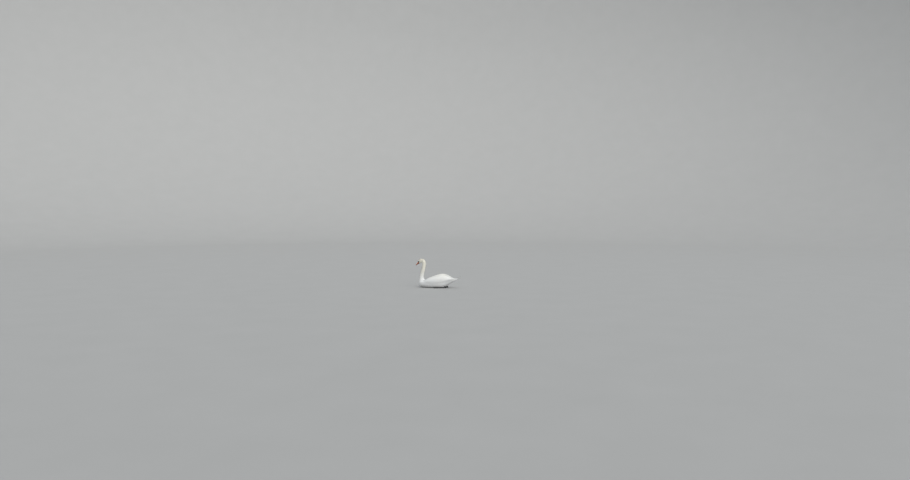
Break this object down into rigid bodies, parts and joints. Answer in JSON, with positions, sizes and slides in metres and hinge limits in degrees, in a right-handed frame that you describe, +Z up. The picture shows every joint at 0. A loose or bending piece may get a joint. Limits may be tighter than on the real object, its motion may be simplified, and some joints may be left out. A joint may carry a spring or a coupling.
{
  "type": "mute swan",
  "caption": "Life-size white swan at rest on its belly, neck raised, orange bill tilted down, wings folded, tail cocked.",
  "frame": {"origin": "on the floor, at the middle of the bird's length and width", "axes": "+Z up, the bird faces -Y, and its left side is +X"},
  "size_m": [0.312, 0.9265, 0.5597],
  "materials": {
    "plumage": "soft white feathers",
    "neck_plumage": "warm white feathers",
    "bill_orange": "satin reddish orange",
    "bare_black": "satin black skin",
    "eye_brown": "glossy dark brown"
  },
  "bodies": {
    "root": {"trunk": "plumage", "tail": "plumage", "neck_lower": "neck_plumage", "neck_upper": "neck_plumage", "head": "neck_plumage", "bill_upper": "bill_orange", "bill_lower": "bare_black", "bill_knob": "bare_black", "eye_left": "eye_brown", "eye_right": "eye_brown", "wing_left": "plumage", "wing_right": "plumage", "primaries_left": "plumage", "primaries_right": "plumage", "leg_left": "bare_black", "leg_right": "bare_black", "foot_left": "bare_black", "foot_right": "bare_black"}
  },
  "joints": []
}
